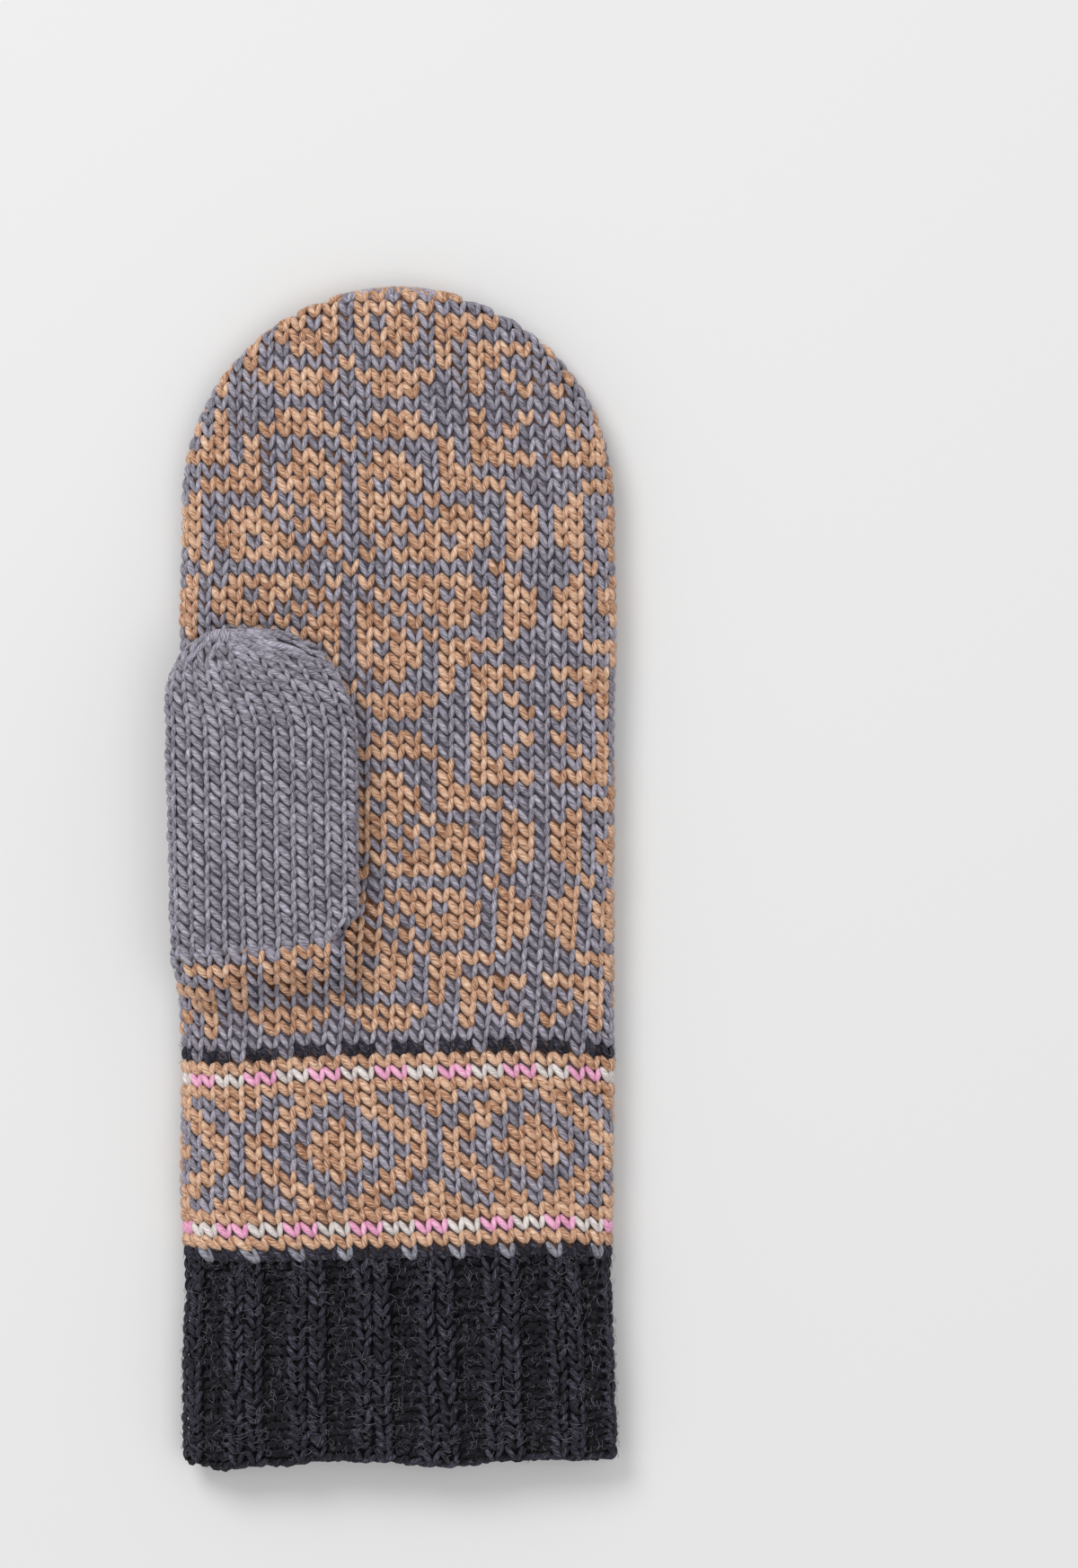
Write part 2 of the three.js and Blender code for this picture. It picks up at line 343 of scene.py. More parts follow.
def rib_spread(u, v):
    """Knit columns of the rib are wide and the purl columns between them draw together."""
    return np.sin(math.pi * rib_phase(u) / 2) * KNIT_WIDENING * in_rib(v)


def rib_recess(u, v):
    """How deep the purl columns lie under the knit ones."""
    away = np.abs(rib_phase(u) - 2)
    return 1.15 * smooth((1.35 - away) / 0.6) * in_rib(v)


# The columns stand wider apart over the palm than at its sides, and drift a little to the left:
# row, drift in columns
COLUMN_DRIFT = np.array([
    [0, -0.2], [17, -0.25], [20, -0.46], [23.5, -0.68], [27, -0.81], [30.7, -0.93], [34.3, -1.25],
    [36, -1.1], [38.5, -0.82], [43, -0.6], [46, -0.45], [50, -0.24], [60, -0.22], [69, -0.17],
    [74, 0.05], [78, 0.0], [83, -0.17], [93, -0.45],
])
PALM_SPREAD = 0.066
# Over the band the columns of the left side lean further out: row, drift in columns
LEFT_DRIFT = np.array([
    [16, 0.0], [19.3, 0.25], [20.6, -0.45], [23.5, -0.5], [27, -0.25], [31, -0.15], [35, 0.0]])
# The rows bow towards the fingertips about the band: distance along, height of the bow
ROW_BOW = np.array([
    [40, 0.0], [64, 0.5], [81, 1.5], [98, 1.3], [114, 0.9], [127, 0.4], [141, -0.1], [156, -0.3],
    [190, 0.0],
])


def palm_window(side):
    """1 over the palm, 0 round its sides and the back."""
    return np.clip(1 - (side / 15) ** 6, 0, 1)


def palm_drift(side, v):
    drift = np.interp(v, COLUMN_DRIFT[:, 0], COLUMN_DRIFT[:, 1])
    left = np.interp(v, LEFT_DRIFT[:, 0], LEFT_DRIFT[:, 1]) * smooth((-side - 3) / 7)
    return (PALM_SPREAD * (side + CHART_CENTRE) + drift + left) * palm_window(side)


def on_back(u):
    return np.mod(u + 45, STITCHES_ROUND) < 30


# Past the slit the lift fades out within this length, for stitches up to the slit and for the rest
LIFTED_FADE = 60.0
PALM_FADE = 5.0
RIGHT_FADE = 12


def ramp_lift(x, along, fade_length):
    """How far the thumb's root lifts the palm at a place."""
    before = slit_at(x) - along
    level = smooth((before - RAMP_LEVEL_PART) / (RAMP_LENGTH - RAMP_LEVEL_PART))
    width, shift = between(THUMB_SECTIONS, np.zeros(1))
    half = THUMB_WIDTH * width[0] / 2
    centre = THUMB_CENTRE + THUMB_WIDTH * shift[0] + half * (1 - RAMP_END_WIDTH) * level / 2
    across = (x - centre) / (half * mix(1, RAMP_END_WIDTH, level))
    lean = math.tan(THUMB_TILT) * (x - THUMB_CENTRE)
    height = (THUMB_THICKNESS + CLEARANCE + lean) * (1 - level)
    bump = smooth((1.14 - np.abs(across)) / 0.34)
    # Right of the thumb the lifted fabric comes down more gently than under it
    fade_length = fade_length + RIGHT_FADE * smooth((across - 0.8) / 0.2)
    fade = np.where(before < 0, smooth(1 + before / fade_length), 1.0)
    return height * bump * fade


# The cast-on edge undulates: column from the middle of the palm, rise of the edge
RIM_RISE = np.array([
    [-30, 2.7], [-22, 2.0], [-15, 2.6], [-13, 2.2], [-12, 1.0], [-11, 1.0], [-10, 1.8], [-9, 2.3],
    [-7, 1.9], [-5, 3.2], [-3, 3.3], [-1, 2.9], [1, 2.3], [3, 1.9], [5, 2.2], [6, 3.1], [8, 3.9],
    [10, 3.5], [12, 2.9], [14, 3.3], [22, 2.3], [30, 2.7],
])


# Height of the palm's top, where the lift is full, and the last row of the uneven surface
PALM_TOP = SIDE_HEIGHT + 7.5
LAST_ROW = ROWS - 0.2


def body_surface(u, v, lifted=False, inset=0.0, even=False, back=None):
    """Point of the body's fabric over a column and a row, of a given face if back is given."""
    u, v = np.broadcast_arrays(np.asarray(u, float), np.minimum(v, ROWS if even else LAST_ROW))
    along = np.interp(v, np.arange(-1, ROWS + 2), ROW_PLACES)
    tube = body(inset)
    full = tube.perimeter(along)
    pitch = np.where((along < CROWN_START) | even, full / STITCHES_ROUND, CROWN_PITCH)
    side = np.mod(u + 30, STITCHES_ROUND) - 30
    u = u + rib_spread(u, v) + palm_drift(side, v)
    back = on_back(u) if back is None else back
    from_back = np.mod(u, STITCHES_ROUND) - 30
    share = np.where(back, 0.5 + from_back * pitch / full, u * pitch / full)
    # The rows of the lower palm climb towards the fingers' side
    climb = 0.11 * side * smooth((14.5 - np.abs(side)) / 6) * smooth((along - 25) / 30)
    at_slit = smooth((along - 85) / 35) * smooth((185 - along) / 60)
    climb = climb * smooth((190 - along) / 60) + 0.16 * np.minimum(side + 2, 0) * at_slit * smooth(
        (15 - np.abs(side)) / 4)
    bow = np.interp(along, ROW_BOW[:, 0], ROW_BOW[:, 1])
    climb = climb + bow * palm_window(side) * (1 - 0.4 * smooth((-side - 4) / 8))
    climb = climb + np.interp(side, RIM_RISE[:, 0], RIM_RISE[:, 1]) * smooth((6 - v) / 6)
    centre, offset, height = tube.at(along + climb, share)
    x = centre + offset
    fade_length = LIFTED_FADE if lifted else PALM_FADE
    lift = ramp_lift(x, along + climb, fade_length) * smooth(height / PALM_TOP)
    reach = THUMB_OVERHANG * lift / THUMB_THICKNESS * smooth((THUMB_CENTRE - x) / 18)
    return placed(x - reach, np.minimum(along + climb, TOTAL_LENGTH - inset), height + lift)


def thumb_surface(u, v, inset=0.0):
    """Point of the thumb's fabric over a column and a row."""
    u, v = np.broadcast_arrays(np.asarray(u, float), np.asarray(v, float))
    above = np.interp(v, THUMB_ROW_NUMBERS, THUMB_PLACES)
    tube = thumb(inset)
    centre, offset, height = tube.at(above, u / THUMB_STITCHES)
    half = np.maximum(1, np.interp(above, tube.along, np.max(tube.grid[:, 0], axis=1)))
    # The tip is gathered left of its middle
    gather = -4.5 * (1 - (offset / half) ** 2) * smooth((above - 50) / 22)
    # Its corner at the slit's end inside the palm is drawn in at a slant
    corner = THUMB_CORNER_WIDTH * np.clip(1 - above / THUMB_CORNER_LENGTH, 0, 1.2)
    x = centre + offset + gather - corner * smooth((offset - half) / 9 + 1)
    low = height - THUMB_FLOOR
    cos, sin = math.cos(THUMB_TILT), math.sin(THUMB_TILT)
    across = x - THUMB_CENTRE
    lean_x = THUMB_CENTRE + across * cos - low * sin
    lean_z = THUMB_FLOOR + across * sin + low * cos
    straight = np.clip(1 - above / THUMB_STRAIGHT, 0, 1)
    along = SLIT_ALONG + above + (slit_at(lean_x) - SLIT_ALONG) * straight
    return placed(lean_x, along, lean_z)


thumb_tubes = {}


def thumb(inset=0.0):
    if inset not in thumb_tubes:
        thumb_tubes[inset] = thumb_tube(inset)
    return thumb_tubes[inset]


def unit(a):
    return a / np.maximum(1e-9, np.linalg.norm(a, axis=-1, keepdims=True))


def normals(surface, u, v):
    step = 0.15
    across = surface(u + step, v) - surface(u - step, v)
    along = surface(u, v + step) - surface(u, v - step)
    return unit(np.cross(across, along))


class Leg:
    """The visible stretch of yarn on one side of a stitch, over shares of its length."""

    def __init__(self, across, along, depth, width, flat=0.82, slim=0.55):
        self.across = across
        self.along = along
        self.depth = depth
        self.width = width
        self.flat = flat
        self.slim = slim


def spindle(t, slim):
    return np.sin(math.pi * t) ** slim


def eased(t):
    return mix(t, smooth(t), 0.5)


def arched(low, rise, start, power):
    """Depth of a leg whose two ends dip into the fabric."""
    return lambda t: low + rise * np.sin(math.pi * (start + 0.9 * t)) ** power


# A knit stitch leans: its foot lies right of the middle, the left leg slants, the right stands
KNIT = [
    Leg(lambda t, foot: mix(foot - 0.02, -0.49, eased(t)), lambda t: -0.22 + 1.4 * t,
        arched(-1.5, 1.05, 0.05, 0.85), 0.86, slim=0.62),
    Leg(lambda t, foot: mix(foot + 0.07, 0.42, eased(t)), lambda t: -0.2 + 1.42 * t,
        arched(-1.4, 1.02, 0.06, 0.8), 0.72, slim=0.6),
]
RIB_KNIT = [
    Leg(lambda t, foot: mix(0.0, -0.44, eased(t)), lambda t: -0.28 + 1.5 * t,
        arched(-1.4, 1.0, 0.05, 0.8), 0.68, slim=0.55),
    Leg(lambda t, foot: mix(0.08, 0.43, eased(t)), lambda t: -0.26 + 1.5 * t,
        arched(-1.4, 1.0, 0.05, 0.8), 0.66, slim=0.55),
]
PURL = [
    Leg(lambda t, foot: -0.5 + t, lambda t: 0.2 + 0.5 * np.sin(math.pi * t),
        lambda t: -1.6 + 0.9 * np.sin(math.pi * t) ** 0.7, 0.66),
    Leg(lambda t, foot: 0.02 + 0.96 * t, lambda t: 0.35 - 0.5 * np.sin(math.pi * t),
        lambda t: -1.7 + 0.9 * np.sin(math.pi * t) ** 0.7, 0.64),
]
THUMB_KNIT = [
    Leg(lambda t, foot: mix(0.16, -0.5, eased(t)), lambda t: -0.36 + 1.55 * t,
        arched(-1.4, 1.0, 0.05, 0.85), 0.84, slim=0.6),
    Leg(lambda t, foot: mix(0.26, 0.42, eased(t)), lambda t: -0.3 + 1.55 * t,
        arched(-1.35, 0.98, 0.06, 0.8), 0.66, slim=0.6),
]
# The first stitches of the thumb are drawn out from the slit at a slant
PICKED_UP = [
    Leg(lambda t, foot: mix(0.3, -0.6, t), lambda t: -0.95 + 1.5 * t,
        arched(-1.2, 0.95, 0.05, 0.8), 0.86, slim=0.6),
]


class Strands:
    """Stretches of yarn gathered for one piece: paths, widths and tones."""

    def __init__(self, stations, sides=6):
        self.stations = stations
        self.sides = sides
        self.paths = []
        self.ups = []
        self.widths = []
        self.flats = []
        self.tones = []

    def add(self, paths, ups, widths, flats, tones):
        self.paths.append(paths)
        self.ups.append(ups)
        self.widths.append(widths)
        self.flats.append(np.broadcast_to(flats, widths.shape))
        self.tones.append(tones)


def body_foot(u, v):
    """The stitches lean less towards the fingertips."""
    return 0.05 + 0.16 * smooth((80 - v) / 30)


def work(strands, surface, legs, u, v, scale=1.0, sunk=None, jitter=1.0, end=math.inf):
    """Lays the legs of stitches at columns u and rows v on a surface."""
    if len(u) == 0:
        return
    t = np.linspace(0, 1, strands.stations + 2)
    inner = 0.02 + 0.96 * t
    for leg in legs:
        sway = jitter * rng.normal(0, 0.02, (len(u), 1))
        rise = jitter * rng.normal(0, 0.03, (len(u), 1))
        grow = 1 + jitter * rng.normal(0, 0.06, (len(u), 1))
        lean = jitter * rng.normal(0, 0.03, (len(u), 1))
        across = leg.across(t, body_foot(u, v)[:, None]) + sway + lean * (t - 0.5)
        uu = u[:, None] + across + 0.07 * sway_across.at(u, v)[:, None]
        vv = v[:, None] + leg.along(t) + rise + 0.12 * sway_along.at(u, v)[:, None]
        vv = np.minimum(vv, end)
        depth = leg.depth(t) + jitter * rng.normal(0, 0.07, (len(u), 1))
        depth = depth + 0.12 * puff.at(u, v)[:, None]
        if sunk is not None:
            depth = depth - sunk(uu, vv)
        up = normals(surface, uu, vv)
        path = surface(uu, vv) + up * depth[..., None]
        width = leg.width * scale * grow * spindle(inner, leg.slim)
        shade = rng.uniform(0, 1, (len(u), 1)) * np.ones_like(depth)
        # The second tone channel, how far the yarn stands out of the fabric, drives the painted shade
        # of its sunken ends
        strands.add(path, up, width, leg.flat, np.stack([shade, smooth((depth + 1.5) / 0.9)], axis=-1))


def fill_mesh(name, points, quads, triangles):
    mesh = bpy.data.meshes.new(name)
    mesh.vertices.add(len(points))
    mesh.vertices.foreach_set("co", (points * MM).astype(np.float32).ravel())
    corners = np.concatenate([quads.ravel(), triangles.ravel()]).astype(np.int32)
    sizes = np.concatenate([np.full(len(quads), 4), np.full(len(triangles), 3)])
    mesh.loops.add(len(corners))
    mesh.loops.foreach_set("vertex_index", corners)
    mesh.polygons.add(len(sizes))
    starts = np.concatenate([[0], np.cumsum(sizes)[:-1]])
    mesh.polygons.foreach_set("loop_start", starts.astype(np.int32))
    mesh.polygons.foreach_set("loop_total", sizes.astype(np.int32))
    mesh.polygons.foreach_set("use_smooth", np.ones(len(sizes), bool))
    mesh.update()
    return mesh


def set_map(mesh, name, values):
    layer = mesh.uv_layers.new(name=name)
    layer.data.foreach_set("uv", values.astype(np.float32).ravel())


def set_tone(mesh, values):
    layer = mesh.attributes.new("tone", "FLOAT_COLOR", "POINT")
    full = np.ones((len(values), 4))
    full[:, : values.shape[1]] = values
    layer.data.foreach_set("color", full.astype(np.float32).ravel())


# Least height of the fabric over the floor, in millimetres
LOWEST = 0.05


def strand_mesh(name, strands):
    """Closed pointed tubes along all the strands, with maps along and round the yarn."""
    sides = strands.sides
    path = np.concatenate(strands.paths)
    up = np.concatenate(strands.ups)
    width = np.concatenate(strands.widths)
    flat = np.concatenate(strands.flats)
    tone = np.concatenate(strands.tones)
    count, stations = path.shape[0], strands.stations
    along = unit(np.gradient(path, axis=1))
    side = unit(np.cross(up, along))
    out = np.cross(along, side)
    turn = 2 * math.pi * np.arange(sides) / sides
    body_part = slice(1, -1)
    ring = (
        path[:, body_part, None]
        + side[:, body_part, None] * (width[:, body_part, None] * np.cos(turn))[..., None]
        + out[:, body_part, None] * ((width * flat)[:, body_part, None] * np.sin(turn))[..., None]
    )
    points = np.concatenate([ring.reshape(count, -1, 3), path[:, :1], path[:, -1:]], axis=1)
    points[..., 2] = np.maximum(points[..., 2], LOWEST)
    tones = np.concatenate([
        np.repeat(tone[:, body_part], sides, axis=1), tone[:, :1], tone[:, -1:]], axis=1)
    each = stations * sides + 2
    k, j = np.meshgrid(np.arange(stations - 1), np.arange(sides), indexing="ij")
    nxt = (j + 1) % sides
    quad = np.stack([k * sides + j, k * sides + nxt, (k + 1) * sides + nxt, (k + 1) * sides + j], -1)
    quad = quad.reshape(-1, 4)
    js = np.arange(sides)
    first = np.stack([np.full(sides, each - 2), (js + 1) % sides, js], -1)
    base = (stations - 1) * sides
    last = np.stack([np.full(sides, each - 1), base + js, base + (js + 1) % sides], -1)
    triangle = np.concatenate([first, last])
    shift = (np.arange(count) * each)[:, None, None]
    mesh = fill_mesh(name, points.reshape(-1, 3), (quad + shift).reshape(-1, 4),
                     (triangle + shift).reshape(-1, 3))
    # Maps: metres along the yarn with a random start, and turns round it
    length = np.concatenate([
        np.zeros((count, 1)), np.cumsum(np.linalg.norm(np.diff(path, axis=1), axis=2), axis=1)], axis=1)
    start = rng.uniform(0, 100, (count, 1))
    place = length + start
    quad_k = np.stack([k, k, k + 1, k + 1], -1).reshape(-1, 4)
    quad_j = np.stack([j, j + 1, j + 1, j], -1).reshape(-1, 4) / sides
    tri_first_j = np.stack([js + 0.5, js + 1, js], -1) / sides
    tri_last_j = np.stack([js + 0.5, js, js + 1], -1) / sides
    tri_k = np.concatenate([
        np.tile([0, 1, 1], (sides, 1)), np.tile([stations + 1, stations, stations], (sides, 1))])
    tri_j = np.concatenate([tri_first_j, tri_last_j])
    along_quads = place[:, quad_k + 1]
    along_tris = place[:, tri_k]
    yarn_quads = np.stack([along_quads, np.broadcast_to(quad_j, along_quads.shape)], -1)
    yarn_tris = np.stack([along_tris, np.broadcast_to(tri_j, along_tris.shape)], -1)
    set_map(mesh, "yarn", np.concatenate([yarn_quads.reshape(-1, 2), yarn_tris.reshape(-1, 2)]))
    # Each strand has its own cell for baking
    columns = math.ceil(math.sqrt(count))
    cell = np.stack([np.arange(count) % columns, np.arange(count) // columns], -1) / columns
    margin, size = 0.06 / columns, 0.88 / columns
    share_quads = (quad_k + 1) / (stations + 1)
    share_tris = tri_k / (stations + 1)
    bake_quads = cell[:, None, None] + margin + size * np.stack([share_quads, quad_j], -1)
    bake_tris = cell[:, None, None] + margin + size * np.stack([share_tris, tri_j], -1)
    set_map(mesh, "OFBake", np.concatenate([bake_quads.reshape(-1, 2), bake_tris.reshape(-1, 2)]))
    set_tone(mesh, tones.reshape(-1, 2))
    return mesh


def add_piece(name, mesh, material):
    piece = bpy.data.objects.new(name, mesh)
    bpy.context.scene.collection.objects.link(piece)
    mesh.materials.append(material)
    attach(piece, "root")
    return piece


def linear(rgb):
    c = np.array(rgb) / 255
    return tuple(np.where(c <= 0.04045, c / 12.92, ((c + 0.055) / 1.055) ** 2.4)) + (1.0,)


def set_inputs(node, values):
    for name, value in values.items():
        node.inputs[name].default_value = value


class Nodes:
    """Small helper to build a material's node tree."""

    def __init__(self, name):
        self.material = bpy.data.materials.new(name)
        self.material.use_nodes = True
        self.tree = self.material.node_tree
        self.tree.nodes.clear()
        self.output = self.add("ShaderNodeOutputMaterial")
        self.shader = self.add("ShaderNodeBsdfPrincipled")
        self.link(self.shader.outputs["BSDF"], self.output.inputs["Surface"])

    def add(self, kind, **values):
        node = self.tree.nodes.new(kind)
        for key, value in values.items():
            setattr(node, key, value)
        return node

    def link(self, a, b):
        self.tree.links.new(a, b)

    def math(self, operation, a, b):
        node = self.add("ShaderNodeMath", operation=operation)
        for socket, value in zip(node.inputs, (a, b)):
            if isinstance(value, (int, float)):
                socket.default_value = value
            else:
                self.link(value, socket)
        return node.outputs[0]

    def noise(self, vector, scale, detail=2.0, roughness=0.5):
        node = self.add("ShaderNodeTexNoise")
        set_inputs(node, {"Scale": scale, "Detail": detail, "Roughness": roughness})
        self.link(vector, node.inputs["Vector"])
        return node.outputs["Fac"]

    def ramp(self, factor, stops):
        node = self.add("ShaderNodeValToRGB")
        elements = node.color_ramp.elements
        while len(elements) < len(stops):
            elements.new(0.5)
        for element, (place, colour) in zip(elements, stops):
            element.position = place
            element.color = colour
        self.link(factor, node.inputs["Fac"])
        return node.outputs["Color"]

    def mix(self, factor, a, b, blend="MIX"):
        node = self.add("ShaderNodeMix", data_type="RGBA", blend_type=blend)
        for socket, value in ((node.inputs[0], factor), (node.inputs[6], a), (node.inputs[7], b)):
            if isinstance(value, (int, float, tuple)):
                socket.default_value = value
            else:
                self.link(value, socket)
        return node.outputs[2]

    def tone(self):
        """Channels of the mesh's tone."""
        colour = self.add("ShaderNodeVertexColor", layer_name="tone")
        parts = self.add("ShaderNodeSeparateColor")
        self.link(colour.outputs["Color"], parts.inputs[0])
        return parts.outputs

    def bump(self, height, strength):
        node = self.add("ShaderNodeBump")
        set_inputs(node, {"Strength": strength, "Distance": 0.0006})
        self.link(height, node.inputs["Height"])
        self.link(node.outputs["Normal"], self.shader.inputs["Normal"])


def yarn_material(name, dark, middle, light, sheen=0.2, heathered=0.18, painted_flank_shade=0.35, fibre=0.5):
    """Plied wool: fine fibres lie at a slant along the yarn, and its tone changes by the stitch, with
    painted shade on the yarn's flanks and sunken ends.
    """
    n = Nodes(name)
    uv = n.add("ShaderNodeUVMap", uv_map="yarn")
    split = n.add("ShaderNodeSeparateXYZ")
    n.link(uv.outputs["UV"], split.inputs[0])
    along, around = split.outputs[0], split.outputs[1]
    slant = n.math("ADD", around, n.math("MULTIPLY", along, 0.16))
    fibres = n.add("ShaderNodeCombineXYZ")
    n.link(n.math("MULTIPLY", along, 0.35), fibres.inputs[0])
    n.link(n.math("MULTIPLY", slant, 7.0), fibres.inputs[1])
    strand = n.noise(fibres.outputs[0], 1.6, detail=3.0, roughness=0.6)
    ply = n.math("SINE", n.math("MULTIPLY", slant, 4 * math.pi), 0.0)
    ply = n.math("MULTIPLY_ADD", ply, 0.5)
    shade, raised = n.tone()[:2]
    where = n.add("ShaderNodeTexCoord")
    heather = n.noise(where.outputs["Object"], 1400.0, detail=3.0, roughness=0.65)
    streak = n.math("ADD", n.math("MULTIPLY", strand, 1.5), -0.36)
    amount = n.math("ADD", n.math("MULTIPLY", streak, 0.75), n.math("MULTIPLY", shade, 0.14))
    grain = n.math("MULTIPLY", n.math("SUBTRACT", heather, 0.5), heathered)
    amount = n.math("ADD", n.math("ADD", amount, 0.09), grain)
    colour = n.ramp(amount, [(0.3, dark), (0.52, middle), (0.78, light)])
    # Painted shade: the flanks of the yarn and its sunken ends are mixed towards the dark tone,
    # standing in for the shade its neighbours cast
    deep = n.math("MULTIPLY", n.math("SUBTRACT", 1.0, raised), 0.75)
    turned = n.math("SINE", n.math("MULTIPLY", around, 2 * math.pi), 0.0)
    painted_flank_darkening = n.math("MULTIPLY", n.math("SUBTRACT", 1.0, turned), painted_flank_shade)
    colour = n.mix(n.math("MAXIMUM", deep, painted_flank_darkening), colour, dark)
    n.link(colour, n.shader.inputs["Base Color"])
    set_inputs(n.shader, {"Roughness": 0.92, "Specular IOR Level": 0.25, "Sheen Weight": sheen,
                          "Sheen Roughness": 0.6})
    n.bump(n.math("ADD", strand, n.math("MULTIPLY", ply, 0.35)), fibre)
    return n.material


def fibre_material(name, dark, light):
    """Single hairs of the wool, each of its own shade."""
    n = Nodes(name)
    n.link(n.ramp(n.tone()[0], [(0.1, dark), (0.9, light)]), n.shader.inputs["Base Color"])
    set_inputs(n.shader, {"Roughness": 0.7, "Specular IOR Level": 0.3, "Sheen Weight": 0.3})
    return n.material


def ground_material(name, plain, under_tan):
    """The fabric seen between its stitches: strands carried along the inside, coloured as darkened
    copies of the yarns for painted shade.
    """
    n = Nodes(name)
    where = n.add("ShaderNodeTexCoord")
    grain = n.noise(where.outputs["Object"], 700.0, detail=3.0)
    tan_share = n.tone()[0]
    mixed = [n.mix(tan_share, a, b) for a, b in zip(plain, under_tan)]
    factor = n.ramp(grain, [(0.35, (0, 0, 0, 1)), (0.7, (1, 1, 1, 1))])
    n.link(n.mix(factor, mixed[0], mixed[1]), n.shader.inputs["Base Color"])
    set_inputs(n.shader, {"Roughness": 0.95, "Specular IOR Level": 0.1})
    n.bump(grain, 0.6)
    return n.material


# Per yarn: dark, middle and light tone, sheen, heathering and the strength of the painted shade on the
# yarn's flanks; the dark tone is also the colour of that painted shade
PALETTE = {
    "tan": (linear((139, 90, 58)), linear((214, 173, 143)), linear((243, 220, 198)), 0.2, 0.2),
    "grey": (linear((88, 84, 96)), linear((158, 153, 166)), linear((210, 206, 222)), 0.2, 0.25),
    "charcoal": (linear((7, 7, 12)), linear((47, 45, 58)), linear((112, 109, 125)), 0.03, 0.35, 0.6),
    "tick": (linear((88, 88, 100)), linear((146, 146, 158)), linear((196, 196, 206)), 0.2, 0.5),
    "pink": (linear((206, 134, 168)), linear((240, 176, 208)), linear((250, 210, 230)), 0.2, 0.2),
    "white": (linear((176, 166, 162)), linear((226, 218, 214)), linear((246, 242, 240)), 0.2, 0.2),
}
materials = {name: yarn_material("wool_" + name, *tones) for name, tones in PALETTE.items()}
# Painted shade: the ground between the stitches and inside the hollow takes darkened copies of the yarn
# colours, a dark and a light tone each
SHADED_GROUND_CHARCOAL = (linear((8, 8, 11)), linear((28, 27, 33)))
SHADED_GROUND_TAN = (linear((98, 62, 42)), linear((144, 102, 76)))
SHADED_GROUND_GREY = (linear((78, 74, 86)), linear((118, 113, 127)))
ground = {
    "dark": ground_material("inside_charcoal_shaded", SHADED_GROUND_CHARCOAL, SHADED_GROUND_CHARCOAL),
    "mixed": ground_material("inside_patterned_shaded", SHADED_GROUND_GREY, SHADED_GROUND_TAN),
    "grey": ground_material("inside_grey_shaded", SHADED_GROUND_GREY, SHADED_GROUND_GREY),
}


def folded(n, period):
    n = np.mod(n, period)
    return np.minimum(n, period - n)


def yarn_of(column, row):
    """Yarn of the body's stitch at a chart column and a row from the cast-on edge."""
    if row < CUFF_ROWS:
        return CHARCOAL
    in_band = HAND_START - 1 - row
    if in_band < 0:
        mark = HAND_CHART[folded(row - CHART_ZERO, 24)][folded(column, 24)]
        return TAN if mark == "#" else GREY
    third = column % 3 == 0
    pair = (column + 1) % 4 in (0, 1)
    if in_band == 0:
        return GREY if third else CHARCOAL
    if in_band in (1, 15):
        return TAN
    if in_band == 2:
        return PINK if pair else WHITE
    if in_band == 14:
        return WHITE if pair else PINK
    if in_band == 16:
        return TICK if column % 3 == (0 if column < 2 else 1) else CHARCOAL
    mark = BORDER_CHART[5 - folded(in_band - 8, 12)][folded(column, 12)]
    return TAN if mark == "#" else GREY


def every_stitch(columns, rows):
    """Each column in each row, as two flat arrays."""
    u, v = np.meshgrid(columns, np.arange(float(rows)))
    return u.ravel(), v.ravel()


# The stitches of the body
chart_columns = np.arange(-41, 19)
body_u, body_v, body_yarn = [], [], []
for row in range(CUFF_ROWS, ROWS):
    middle = float(np.interp(row + 0.5, np.arange(-1, ROWS + 2), ROW_PLACES))
    full = float(body().perimeter(middle))
    for column in chart_columns:
        u = column - CHART_CENTRE
        if middle > CROWN_START:
            centred = (u + 45) % STITCHES_ROUND - 15 if on_back(u) else u
            if abs(centred) * CROWN_PITCH > full / 4 + 0.15 * CROWN_PITCH:
                continue
        body_u.append(u)
        body_v.append(row)
        body_yarn.append(yarn_of(int(column), row))
body_u = np.array(body_u)
body_v = np.array(body_v, float)
body_yarn = np.array(body_yarn)

spots = body_surface(body_u, body_v + 0.5)
before_slit = slit_at(spots[:, 0] - ZERO_X) - (spots[:, 1] - ZERO_Y)
lifted_part = (before_slit > 0.8) & ~on_back(body_u)
from_centre = spots[:, 0] - ZERO_X - THUMB_CENTRE
under_thumb = (
    (before_slit < -4) & (before_slit > -THUMB_LENGTH + 12) & ~on_back(body_u)
    & (np.abs(from_centre) < THUMB_WIDTH / 2 - 7)
)
# Nor is there a stitch on the step down behind the slit
step_down = ramp_lift(spots[:, 0] - ZERO_X, spots[:, 1] - ZERO_Y, PALM_FADE)
hidden = (from_centre > 0) & (from_centre < THUMB_WIDTH / 2 - 3) & ~on_back(body_u)
under_thumb |= hidden & (before_slit < 0.8) & (step_down > 0.8)


PALM_STATIONS = 6
# The tan yarn lies over the grey one
FULLNESS = {TAN: 1.15, GREY: 0.93}
STITCH_END = ROWS - 0.36
pieces = {}


def plainer_strands():
    """For what the palm's side doesn't show: fewer stations and sides."""
    return Strands(4, sides=5)


def add_stitches(node, name, strands, yarn):
    piece = add_piece(name, strand_mesh(name, strands), materials[YARNS[yarn]])
    pieces.setdefault(node, []).append(piece)


